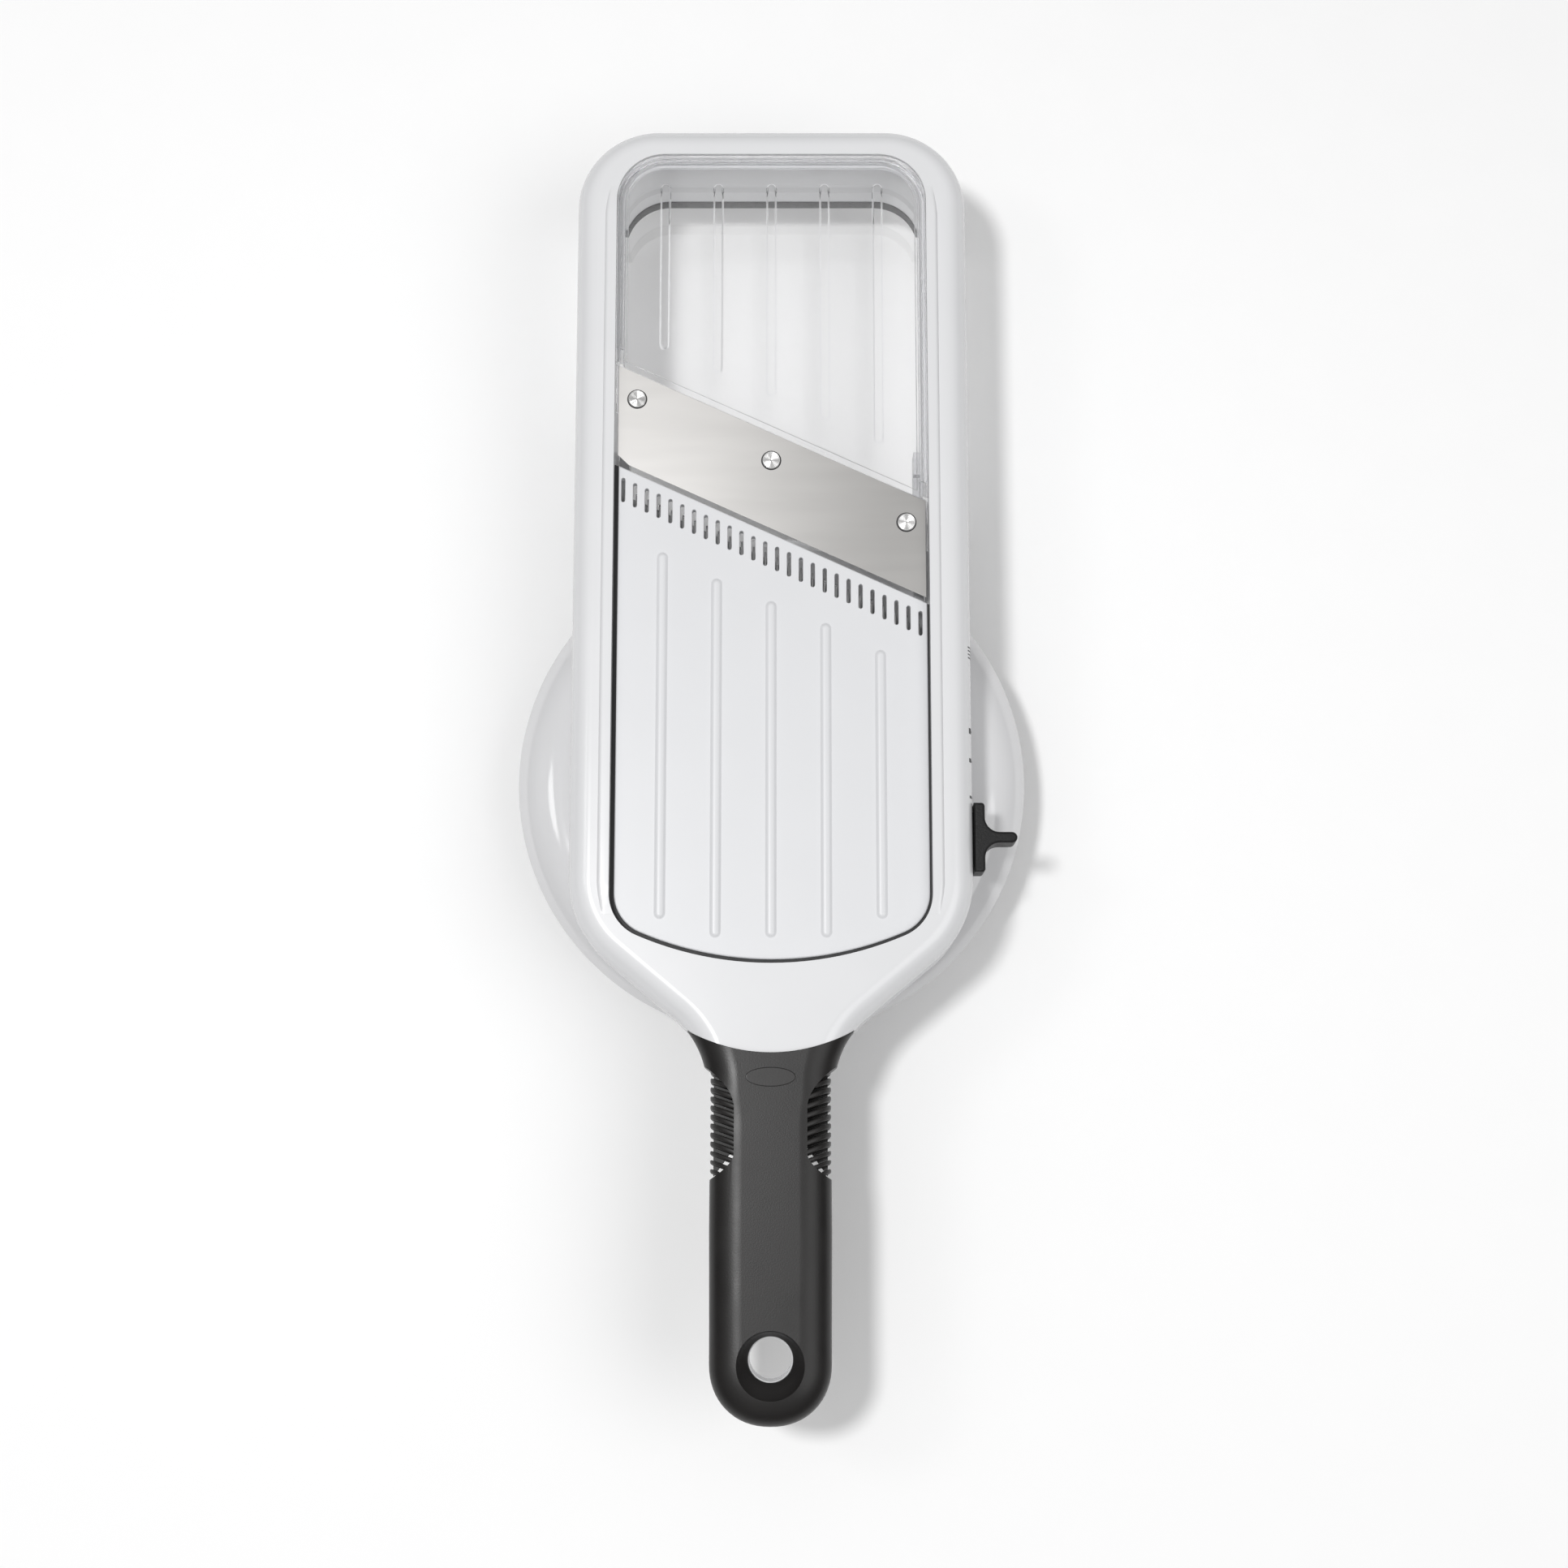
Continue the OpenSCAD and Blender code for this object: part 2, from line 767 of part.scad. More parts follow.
module comb_carrier() {
    leg_in = 38.9;
    leg_out = 41.6;
    color(white)
        difference() {
            union() {
                translate([0, 0, comb_low])
                    linear_extrude(height = comb_t)
                        intersection() {
                            square([2 * leg_out, 400], center = true);
                            beyond_line(comb_mid_y - comb_half);
                            before_line(comb_mid_y + comb_half);
                        }
                // low legs that stay under the deck
                translate([leg_in, 34.5, comb_low])
                    cube([leg_out - leg_in, 51, comb_t]);
                translate([-leg_out, 70.5, comb_low])
                    cube([leg_out - leg_in, 15, comb_t]);
                // eyes for the guide pins, beyond the deck
                for (side = [0, 1])
                    mirror([side, 0, 0])
                        translate([leg_in, 79, comb_low])
                            cube([leg_out - leg_in, 6.5, 6.6]);
            }
            for (side = [0, 1])
                mirror([side, 0, 0])
                    bar_x(leg_in - 1, leg_out + 1, comb_pin_y, comb_pin_z, pin_r);
            for (i = [0 : comb_count - 1])
                translate([comb_x(i) - 0.25, comb_y(i) - 2.6, 32.6])
                    cube([0.5, 5.2, 10]);
        }
}

module julienne_blades() {
    color(steel)
        for (i = [0 : comb_count - 1])
            translate([comb_x(i) - 0.25, comb_y(i) - 2.6, 32.6])
                difference() {
                    cube([0.5, 5.2, 10.9]);
                    translate([-1, 0, 10.9])
                        rotate([35, 0, 0])
                            translate([0, -2, 0])
                                cube([3, 12, 5]);
                }
}

module comb_pins() {
    color(steel)
        for (side = [0, 1])
            mirror([side, 0, 0])
                bar_x(38.9, cam_out - 0.1, comb_pin_y, comb_pin_z, pin_r);
}

// ---- food holder ----

module holder_brim() {
    edge_drop = 7.5;
    sweep_r = (pow(brim_r - brim_flat_r, 2) + pow(edge_drop, 2)) / (2 * edge_drop);
    color(white)
        difference() {
            union() {
                translate([0, holder_y, 0])
                    rotate_extrude($fn = 180) {
                        translate([0, brim_top - brim_t])
                            square([brim_flat_r, brim_t]);
                        intersection() {
                            difference() {
                                translate([brim_flat_r, brim_top - sweep_r])
                                    circle(r = sweep_r, $fn = 180);
                                translate([brim_flat_r, brim_top - sweep_r])
                                    circle(r = sweep_r - brim_t, $fn = 180);
                            }
                            translate([brim_flat_r, brim_top - 15])
                                square([brim_r - brim_flat_r, 20]);
                        }
                    }
                // ribs that grip the inner faces of the frame
                for (side = [0, 1])
                    mirror([side, 0, 0])
                        translate([39.8, -34, brim_top - 1])
                            cube([2.15, 24, 2.7]);
            }
            for (a = holder_screw_turn)
                translate([holder_screw_r * cos(a), holder_y + holder_screw_r * sin(a), 0])
                    cylinder(r = 1.3, h = 60, $fn = small);
        }
}

module holder_knob() {
    top = brim_top - brim_t;
    color(white)
        translate([0, holder_y, 0])
            difference() {
                rotate_extrude($fn = 180)
                    difference() {
                        union() {
                            translate([0, 5])
                                square([34, top - 5]);
                            translate([0, top - 5])
                                square([36, 5]);
                        }
                        // waist that the fingers close on
                        translate([48.5, 15.5])
                            circle(r = 20, $fn = 180);
                        // hollow inside, open at the top under the brim
                        translate([-1, 8])
                            square([22, top - 8 + 1]);
                    }
                for (a = holder_screw_turn)
                    translate([holder_screw_r * cos(a), holder_screw_r * sin(a), top - 7.5])
                        cylinder(r = 1, h = 10, $fn = small);
            }
}

module knob_grip() {
    edge = 3;
    color(charcoal)
        translate([0, holder_y, 0])
            rotate_extrude($fn = 180)
                difference() {
                    union() {
                        square([crown_r - edge, 6.5]);
                        translate([0, edge])
                            square([crown_r, 3.5]);
                        translate([crown_r - edge, edge])
                            circle(r = edge, $fn = small);
                    }
                    translate([-1, 5])
                        square([33.4, 5]);
                }
}

module prong_plate() {
    color(white)
        translate([0, holder_y, 0])
            difference() {
                translate([0, 0, brim_top])
                    cylinder(r = 36, h = 1.5, $fn = smooth);
                prong_spots(prong_r);
                for (a = holder_screw_turn)
                    translate([holder_screw_r * cos(a), holder_screw_r * sin(a), 20])
                        cylinder(r = 1.3, h = 60, $fn = small);
            }
}

// prongs on two rings, standing on the brim
module prong_spots(r) {
    for (ring = prong_rings)
        for (i = [0 : ring[1] - 1])
            rotate([0, 0, i * 360 / ring[1]])
                translate([ring[0], 0, brim_top])
                    cylinder(r = r, h = 4.4, $fn = small);
}

module holder_prongs() {
    color(steel)
        translate([0, holder_y, 0]) {
            prong_spots(prong_r);
            for (ring = prong_rings)
                for (i = [0 : ring[1] - 1])
                    rotate([0, 0, i * 360 / ring[1]])
                        translate([ring[0], 0, brim_top + 4.4])
                            cylinder(r1 = prong_r, r2 = 0.1, h = prong_top - brim_top - 4.4, $fn = small);
        }
}

module holder_screws() {
    color(steel)
        translate([0, holder_y, 0])
            for (a = holder_screw_turn)
                translate([holder_screw_r * cos(a), holder_screw_r * sin(a), 0]) {
                    translate([0, 0, brim_top - brim_t - 6])
                        cylinder(r = 0.98, h = brim_t + 7.6, $fn = small);
                    translate([0, 0, brim_top + 1.5])
                        cylinder(r = 2.2, h = 1.3, $fn = small);
                }
}

frame_shell();
handle_grip();
left_rail_cover();
right_rail_cover();
cover_screws();
clear_ramp();
cutting_blade();
blade_rivets();
tip_foot();
detent_spring();
runway_deck();
follower_pins();
left_cam_plate();
right_cam_plate();
cam_cross_tie();
tie_screws();
thickness_lever();
lever_screws();
comb_carrier();
julienne_blades();
comb_pins();
holder_brim();
holder_knob();
knob_grip();
prong_plate();
holder_prongs();
holder_screws();
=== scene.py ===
import math

import bmesh
import bpy
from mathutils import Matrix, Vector


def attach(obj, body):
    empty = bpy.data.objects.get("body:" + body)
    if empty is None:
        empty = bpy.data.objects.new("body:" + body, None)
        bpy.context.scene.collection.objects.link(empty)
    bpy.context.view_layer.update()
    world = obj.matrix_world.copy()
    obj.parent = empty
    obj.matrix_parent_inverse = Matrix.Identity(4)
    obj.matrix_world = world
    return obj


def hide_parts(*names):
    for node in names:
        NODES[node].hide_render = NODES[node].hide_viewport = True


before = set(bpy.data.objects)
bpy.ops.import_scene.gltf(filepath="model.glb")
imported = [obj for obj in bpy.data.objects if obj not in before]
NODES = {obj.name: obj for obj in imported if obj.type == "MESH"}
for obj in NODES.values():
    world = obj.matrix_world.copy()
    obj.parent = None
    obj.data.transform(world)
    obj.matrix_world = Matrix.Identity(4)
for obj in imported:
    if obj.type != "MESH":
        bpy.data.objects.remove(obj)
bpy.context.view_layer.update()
MM = 0.001


# ---------------------------------------------------------------- materials

# the part of a noise texture's range that most of it falls in
NOISE_LOW, NOISE_HIGH = 0.3, 0.7


def surface(name, colour, rough, metallic=0.0, coat=0.0, vary=0.03, rough_vary=0.05, scale=60.0,
            bump=0.05, bump_scale=900.0, bump_distance=0.00005, turn=None, stretch=None,
            transmission=0.0, ior=1.5, alpha=1.0, painted_shade=None, specular=0.5):
    """A principled material with procedural colour, roughness and bump in object space.

    Painted shade, given as (axis vector, start, end, dark factor): the colour darkens slowly along the piece
    in place of falling light."""
    m = bpy.data.materials.new(name)
    m.use_nodes = True
    nt = m.node_tree
    bsdf = nt.nodes["Principled BSDF"]
    for socket, value in (("Metallic", metallic), ("Coat Weight", coat), ("Coat Roughness", 0.08),
                          ("IOR", ior), ("Alpha", alpha), ("Transmission Weight", transmission),
                          ("Specular IOR Level", specular)):
        bsdf.inputs[socket].default_value = value
    coord = nt.nodes.new("ShaderNodeTexCoord")
    mapping = nt.nodes.new("ShaderNodeMapping")
    nt.links.new(coord.outputs["Object"], mapping.inputs["Vector"])
    if turn:
        mapping.inputs["Rotation"].default_value = turn
    if stretch:
        mapping.inputs["Scale"].default_value = stretch
    cloud = nt.nodes.new("ShaderNodeTexNoise")
    cloud.inputs["Scale"].default_value = scale
    cloud.inputs["Detail"].default_value = 5.0
    nt.links.new(mapping.outputs["Vector"], cloud.inputs["Vector"])
    ramp = nt.nodes.new("ShaderNodeValToRGB")
    low = [max(0.0, c * (1.0 - vary)) for c in colour]
    high = [min(1.0, c * (1.0 + vary)) for c in colour]
    ramp.color_ramp.elements[0].position = NOISE_LOW
    ramp.color_ramp.elements[1].position = NOISE_HIGH
    ramp.color_ramp.elements[0].color = (*low, 1)
    ramp.color_ramp.elements[1].color = (*high, 1)
    nt.links.new(cloud.outputs["Fac"], ramp.inputs["Fac"])
    colour_out = ramp.outputs["Color"]
    if painted_shade:
        axis, start, end, dark = painted_shade
        along = nt.nodes.new("ShaderNodeVectorMath")
        along.operation = "DOT_PRODUCT"
        along.inputs[1].default_value = axis
        nt.links.new(coord.outputs["Object"], along.inputs[0])
        slide = nt.nodes.new("ShaderNodeMapRange")
        slide.interpolation_type = "SMOOTHSTEP"
        slide.inputs["From Min"].default_value = start
        slide.inputs["From Max"].default_value = end
        nt.links.new(along.outputs["Value"], slide.inputs["Value"])
        blend = nt.nodes.new("ShaderNodeMix")
        blend.data_type = "RGBA"
        blend.blend_type = "MULTIPLY"
        blend.inputs["B"].default_value = (dark, dark, dark, 1)
        nt.links.new(slide.outputs["Result"], blend.inputs["Factor"])
        nt.links.new(colour_out, blend.inputs["A"])
        colour_out = blend.outputs["Result"]
    nt.links.new(colour_out, bsdf.inputs["Base Color"])
    spread = nt.nodes.new("ShaderNodeMapRange")
    spread.inputs["From Min"].default_value = NOISE_LOW
    spread.inputs["From Max"].default_value = NOISE_HIGH
    spread.inputs["To Min"].default_value = max(0.02, rough - rough_vary)
    spread.inputs["To Max"].default_value = min(1.0, rough + rough_vary)
    nt.links.new(cloud.outputs["Fac"], spread.inputs["Value"])
    nt.links.new(spread.outputs["Result"], bsdf.inputs["Roughness"])
    fine = nt.nodes.new("ShaderNodeTexNoise")
    fine.inputs["Scale"].default_value = bump_scale
    fine.inputs["Detail"].default_value = 3.0
    nt.links.new(mapping.outputs["Vector"], fine.inputs["Vector"])
    relief = nt.nodes.new("ShaderNodeBump")
    relief.inputs["Strength"].default_value = bump
    relief.inputs["Distance"].default_value = bump_distance
    nt.links.new(fine.outputs["Fac"], relief.inputs["Height"])
    nt.links.new(relief.outputs["Normal"], bsdf.inputs["Normal"])
    return m


# the blade's line drops by SLOPE for each millimetre to the right
SLOPE = 0.46
BLADE_TURN = math.atan(SLOPE)

white_gloss = surface("white_gloss", (0.71, 0.713, 0.724), 0.24, coat=0.2, vary=0.006, rough_vary=0.01,
                      bump=0.2, bump_scale=300, bump_distance=0.00002)
deck_white = surface("deck_white", (0.68, 0.685, 0.70), 0.36, vary=0.006, rough_vary=0.01,
                     bump=0.25, bump_scale=700, bump_distance=0.00002)
brim_white = surface("brim_white", (0.71, 0.71, 0.72), 0.1, coat=0.5, vary=0.006, rough_vary=0.01,
                     bump=0.12, bump_scale=140, bump_distance=0.00004)
inner_white = surface("inner_white", (0.68, 0.685, 0.7), 0.42, vary=0.01, rough_vary=0.02,
                      bump=0.3, bump_scale=900)
soft_grip = surface("soft_grip", (0.0125, 0.0115, 0.0112), 0.36, vary=0.14, rough_vary=0.04, scale=90,
                    bump=0.45, bump_scale=2600, bump_distance=0.00004, specular=0.33)
fin_rubber = surface("fin_rubber", (0.016, 0.0148, 0.0145), 0.38, vary=0.12, rough_vary=0.06, scale=120,
                     bump=0.35, bump_scale=2400, bump_distance=0.00003, specular=0.33)
knob_soft = surface("knob_soft", (0.036, 0.036, 0.036), 0.55, vary=0.14, rough_vary=0.08, scale=110,
                    bump=0.5, bump_scale=2400, bump_distance=0.00004)
# painted shade: the blade's colour darkens towards its right end, where it reflects less of the light from
# the upper left
blade_steel = surface("blade_steel", (0.62, 0.608, 0.594), 0.4, metallic=1.0, vary=0.012, rough_vary=0.015,
                      scale=260, bump=0.1, bump_scale=1500, bump_distance=0.000005,
                      turn=(0, 0, BLADE_TURN), stretch=(0.12, 1, 1),
                      painted_shade=((1, -SLOPE, 0), -0.075, 0.01, 0.58))
comb_steel = surface("comb_steel", (0.5, 0.5, 0.5), 0.28, metallic=1.0, vary=0.08, scale=80, bump=0.3,
                     bump_scale=500, stretch=(1, 1, 12))
bright_steel = surface("bright_steel", (0.66, 0.655, 0.65), 0.24, metallic=1.0, vary=0.05, scale=200,
                       bump=0.2, bump_scale=1500)
# painted shade for narrow gaps: dark colour laid where the shadow inside a gap falls
painted_gap_shade = surface("painted_gap_shade", (0.02, 0.02, 0.021), 0.6, vary=0.2, scale=600, bump=0.2)
black_plastic = surface("black_plastic", (0.006, 0.006, 0.0064), 0.45, vary=0.3, scale=500, bump=0.9,
                        bump_scale=2600, bump_distance=0.00012, specular=0.25)
foot_rubber = surface("foot_rubber", (0.014, 0.014, 0.014), 0.62, vary=0.2, scale=200, bump=0.5,
                      bump_scale=2500)
clear_plastic = surface("clear_plastic", (0.96, 0.96, 0.98), 0.05, vary=0.01, rough_vary=0.03, scale=30,
                        bump=0.1, bump_scale=40, bump_distance=0.0001, transmission=1.0, ior=1.46, alpha=0.12)
clear_edge = surface("clear_edge", (0.97, 0.97, 0.99), 0.03, vary=0.003, rough_vary=0.02, scale=30,
                     bump=0.1, bump_scale=40, bump_distance=0.0001, transmission=1.0, ior=1.46, alpha=0.8)
print_ink = surface("print_ink", (0.03, 0.03, 0.032), 0.5, vary=0.2, scale=900, bump=0.2, bump_scale=3000)


def paint(obj, material):
    for s in obj.material_slots:
        s.link = "OBJECT"
        s.material = material


for material, names in (
    (white_gloss, ("frame_shell",)),
    (deck_white, ("runway_deck",)),
    (brim_white, ("holder_brim", "holder_knob")),
    (inner_white, ("left_rail_cover", "right_rail_cover", "left_cam_plate", "right_cam_plate",
                   "comb_carrier", "prong_plate")),
    (soft_grip, ("handle_grip",)),
    (knob_soft, ("knob_grip",)),
    (blade_steel, ("cutting_blade",)),
    (comb_steel, ("julienne_blades",)),
    (bright_steel, ("blade_rivets", "cover_screws", "detent_spring", "follower_pins", "cam_cross_tie",
                    "tie_screws", "lever_screws", "comb_pins", "holder_prongs", "holder_screws")),
    (black_plastic, ("thickness_lever",)),
    (foot_rubber, ("tip_foot",)),
    (clear_plastic, ("clear_ramp",)),
):
    for name in names:
        paint(NODES[name], material)


# ---------------------------------------------------------------- mesh helpers

def mesh_object(name, verts, faces):
    """A mesh object from points in millimetres, with its normals made to point outwards."""
    mesh = bpy.data.meshes.new(name)
    mesh.from_pydata([Vector(v) * MM for v in verts], [], faces)
    bm = bmesh.new()
    bm.from_mesh(mesh)
    bmesh.ops.remove_doubles(bm, verts=bm.verts, dist=1e-7)
    bmesh.ops.recalc_face_normals(bm, faces=bm.faces)
    bm.to_mesh(mesh)
    bm.free()
    obj = bpy.data.objects.new(name, mesh)
    bpy.context.scene.collection.objects.link(obj)
    return obj


def loft(name, rings, around=False):
    """A closed solid through rings of equal length; around joins the last ring to the first."""
    count = len(rings[0])
    verts = [p for ring in rings for p in ring]
    faces = []
    for a in range(len(rings) if around else len(rings) - 1):
        b = (a + 1) % len(rings)
        for i in range(count):
            j = (i + 1) % count
            faces.append((a * count + i, a * count + j, b * count + j, b * count + i))
    if not around:
        faces.append(tuple(range(count)))
        faces.append(tuple(range((len(rings) - 1) * count, len(rings) * count)))
    return mesh_object(name, verts, faces)


def lathe(name, profile, centre=(0, 0), steps=96, closed=False):
    """A solid turned about a vertical axis from [radius, height] points; radius 0 ends close it."""
    verts = []
    faces = []
    rows = []
    for r, z in profile:
        if r < 1e-6:
            rows.append([len(verts)])
            verts.append((centre[0], centre[1], z))
        else:
            rows.append(list(range(len(verts), len(verts) + steps)))
            for k in range(steps):
                a = math.tau * k / steps
                verts.append((centre[0] + r * math.cos(a), centre[1] + r * math.sin(a), z))
    pairs = list(zip(rows, rows[1:]))
    if closed:
        pairs.append((rows[-1], rows[0]))
    for low, high in pairs:
        for k in range(steps):
            n = (k + 1) % steps
            corner = [low[k % len(low)], low[n % len(low)], high[n % len(high)], high[k % len(high)]]
            corner = list(dict.fromkeys(corner))
            if len(corner) > 2:
                faces.append(corner)
    return mesh_object(name, verts, faces)


def arc(cx, cy, r, start, end, steps):
    """Points on an arc, angles in degrees."""
    turns = [math.radians(start + (end - start) * k / steps) for k in range(steps + 1)]
    return [(cx + r * math.cos(a), cy + r * math.sin(a)) for a in turns]


def ellipse(rx, ry, y, z, steps=64):
    """Points of an ellipse round the middle line at height z."""
    turns = [math.tau * k / steps for k in range(steps)]
    return [(rx * math.cos(a), y + ry * math.sin(a), z) for a in turns]


def tidy_loop(points, gap=0.02):
    """The loop without points that lie on top of each other."""
    out = []
    for p in points:
        if not out or math.dist(p, out[-1]) > gap:
            out.append(p)
    if math.dist(out[0], out[-1]) <= gap:
        out.pop()
    return out


def area(points):
    return 0.5 * sum(a[0] * b[1] - b[0] * a[1] for a, b in zip(points, points[1:] + points[:1]))


def inset(points, d):
    """The loop moved inwards by d, mitred at its corners. The loop runs anticlockwise."""
    out = []
    n = len(points)
    for i in range(n):
        a, b, c = Vector(points[i - 1]), Vector(points[i]), Vector(points[(i + 1) % n])
        u = (b - a).normalized()
        v = (c - b).normalized()
        nu = Vector((-u.y, u.x))
        nv = Vector((-v.y, v.x))
        m = nu + nv
        m = m / max(0.25, m.length_squared) * 2
        out.append((b.x + m.x * d, b.y + m.y * d))
    return out


def anticlockwise(points):
    return points if area(points) > 0 else points[::-1]


def quarter_turn(steps):
    return [math.pi / 2 * k / steps for k in range(steps + 1)]


def edge_ring(outline, z, a, across, up):
    """The outline at angle a round an elliptical edge: a right angle is the flat face at height z."""
    return [(x, y, z + up * (1 - math.sin(a))) for x, y in inset(outline, across * (1 - math.cos(a)))]


def slab(name, outline, z0, z1, top=0.4, bottom=0.25, steps=4):
    """A plate with the given outline whose upper and lower edges are rounded."""
    outline = anticlockwise(tidy_loop(outline))
    turns = quarter_turn(steps)
    rings = [edge_ring(outline, z0, a, bottom, bottom) for a in turns[::-1]]
    rings += [edge_ring(outline, z1, a, top, -top) for a in turns]
    return loft(name, rings)


def prism(name, outline, z0, z1):
    outline = anticlockwise(tidy_loop(outline))
    return loft(name, [[(x, y, z) for x, y in outline] for z in (z0, z1)])


def block(name, x0, x1, y0, y1, z0, z1, round_off=0.3):
    """A box with rounded edges."""
    left, right = x0 + round_off, x1 - round_off
    low, high = y0 + round_off, y1 - round_off
    outline = []
    for k, (cx, cy) in enumerate(((right, high), (left, high), (left, low), (right, low))):
        outline += arc(cx, cy, round_off, 90 * k, 90 * k + 90, 3)
    return slab(name, outline, z0, z1, 0.7 * round_off, 0.7 * round_off, 3)


def cut(obj, *tools, how="DIFFERENCE"):
    """Booleans each tool with the object, keeps the result in the object and removes the tools."""
    for tool in tools:
        mod = obj.modifiers.new("cut", "BOOLEAN")
        mod.operation = how
        mod.solver = "EXACT"
        mod.object = tool
        bpy.context.view_layer.update()
        result = bpy.data.meshes.new_from_object(obj.evaluated_get(bpy.context.evaluated_depsgraph_get()))
        obj.modifiers.clear()
        obj.data = result
        bpy.data.objects.remove(tool)
    return obj


def add(obj, *tools):
    return cut(obj, *tools, how="UNION")


def join(obj, *others):
    """Adds the others' shells to the object's mesh."""
    bm = bmesh.new()
    bm.from_mesh(obj.data)
    for other in others:
        bm.from_mesh(other.data)
        bpy.data.objects.remove(other)
    bm.to_mesh(obj.data)
    bm.free()
    return obj


def mirror_x(points):
    return [(-x, y) for x, y in points]


def smooth(obj, angle=35, bevel=0.0, segments=2):
    """Smooth shading with crisp edges over the angle, and a small bevel where one is given."""
    bm = bmesh.new()
    bm.from_mesh(obj.data)
    bmesh.ops.remove_doubles(bm, verts=bm.verts, dist=2e-6)
    bmesh.ops.dissolve_degenerate(bm, edges=bm.edges, dist=1e-6)
    limit = math.radians(angle)
    for f in bm.faces:
        f.smooth = True
    for e in bm.edges:
        e.smooth = len(e.link_faces) == 2 and e.calc_face_angle(0) < limit
    bm.to_mesh(obj.data)
    bm.free()
    if bevel:
        mod = obj.modifiers.new("bevel", "BEVEL")
        mod.width = bevel * MM
        mod.segments = segments
        mod.limit_method = "ANGLE"
        mod.angle_limit = math.radians(40)
        mod.use_clamp_overlap = True
        mod.harden_normals = False
    mod = obj.modifiers.new("normals", "WEIGHTED_NORMAL")
    mod.keep_sharp = True
    mod.weight = 100
    return obj


def place(obj, body, material, *nodes):
    """Gives a finished piece its material and body, and hides the CAD nodes that it stands for."""
    obj.data.materials.clear()
    obj.data.materials.append(material)
    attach(obj, body)
    if nodes:
        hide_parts(*nodes)
    return obj


# ---------------------------------------------------------------- shared outlines, in millimetres

HALF_W, FAR_Y, CORNER_R = 53.0, 173.5, 22.0
RIM_R, FRAME_TOP, FRAME_LOW, BEAD_TOP = 6.0, 54.2, 31.0, 55.0
SHOULDER_R, SHOULDER_Y, SHOULDER_TURN = 28.0, -34.0, 50.0
FLARE_Y, FLARE_R = -70.5, 24.0
JOINT_R, JOINT_Y, JOINT_TOP = 43.0, -36.7, -73.95
OPEN_W, OPEN_FAR, OPEN_FAR_R, OPEN_NEAR, NEAR_R, NEAR_CORNER = 42.1, 165.3, 13.0, -56.7, 88.0, 12.0
BLADE_FAR, DECK_EDGE = 86.8, 58.7
RUNWAY_Z, DECK_TOP = 51.0, 51.5
GRIP_W, GRIP_Z0, GRIP_Z1, GRIP_END = 15.6, 37.0, 55.0, -157.9
CROWN = 8.5
HANG_Y, HANG_R = -156.8, 5.4
RIDGE_X = (-29, -14.5, 0, 14.5, 29)
LEVER_Y = -23.2


def flare_centre():
    turn = math.radians(SHOULDER_TURN)
    x0 = HALF_W - SHOULDER_R + SHOULDER_R * math.cos(turn)
    y0 = SHOULDER_Y - SHOULDER_R * math.sin(turn)
    x = x0 - (y0 - FLARE_Y) * math.tan(turn)
    return x + FLARE_R * math.cos(turn), FLARE_Y - FLARE_R * math.sin(turn)


def flank():
    """The frame's right side from the shoulder to where the flare starts."""
    return arc(HALF_W - SHOULDER_R, SHOULDER_Y, SHOULDER_R, 0, -SHOULDER_TURN, 20)


def flare():
    cx, cy = flare_centre()
    return arc(cx, cy, FLARE_R, 180 - SHOULDER_TURN, 180, 14)


def frame_outline():
    right = arc(HALF_W - CORNER_R, FAR_Y - CORNER_R, CORNER_R, 90, 0, 24) + flank() + flare()
    right.append((right[-1][0], right[-1][1] - 12))
    return right + mirror_x(right)[::-1]


def grip_outline():
    right = [flank()[-1]] + flare()
    x_start, y_start = right[-1]
    for k in range(1, 9):
        t = k / 8
        right.append((x_start + (GRIP_W - x_start) * t * t * (3 - 2 * t), y_start - 9 * t))
    right += [(GRIP_W + 0.15, -125), (GRIP_W, -150)]
    for k in range(0, 17):
        a = math.pi / 2 * k / 16
        c, s = math.cos(a) ** 0.93, math.sin(a) ** 0.93
        right.append((GRIP_W * c, GRIP_END - (FAR_Y + GRIP_END) * s))
    return right + mirror_x(right)[::-1]


def opening(gap):
    half, far_r, near_r = OPEN_W - gap, OPEN_FAR_R - gap, NEAR_CORNER - gap
    far = OPEN_FAR - gap
    near_x = half - near_r
    near_c = OPEN_NEAR + NEAR_R
    near_y = near_c - math.sqrt((NEAR_R - NEAR_CORNER) ** 2 - near_x ** 2)
    lean = math.degrees(math.atan2(near_y - near_c, near_x))
    loop = arc(half - far_r, far - far_r, far_r, 0, 90, 14)
    loop += arc(-(half - far_r), far - far_r, far_r, 90, 180, 14)
    loop += arc(-near_x, near_y, near_r, 180, 180 - lean, 12)
    loop += arc(0, near_c, NEAR_R - gap, -180 - lean, lean, 24)
    loop += arc(near_x, near_y, near_r, lean, 0, 12)
    return tidy_loop(loop)


def clip(points, side, line_y):
    """The part of a loop beyond (side 1) or before (side -1) the blade's parallel through line_y."""
    out = []
    for a, b in zip(points, points[1:] + points[:1]):
        da = side * (a[1] + SLOPE * a[0] - line_y)
        db = side * (b[1] + SLOPE * b[0] - line_y)
        if da >= 0:
            out.append(a)
        if da * db < 0:
            t = da / (da - db)
            out.append((a[0] + (b[0] - a[0]) * t, a[1] + (b[1] - a[1]) * t))
    return tidy_loop(out)


def capsule(x, y0, y1, r, steps=8):
    return arc(x, y1 - r, r, 0, 180, steps) + arc(x, y0 + r, r, 180, 360, steps)


SOFT_RIDGE = ((0, 0.02), (0.14, 0.2), (0.3, 0.55), (0.48, 0.84), (0.68, 0.97), (0.9, 1.0))
STEEP_RIDGE = ((0, 0.02), (0.1, 0.12), (0.18, 0.4), (0.27, 0.8), (0.38, 0.97), (0.55, 1.0), (0.9, 1.0))


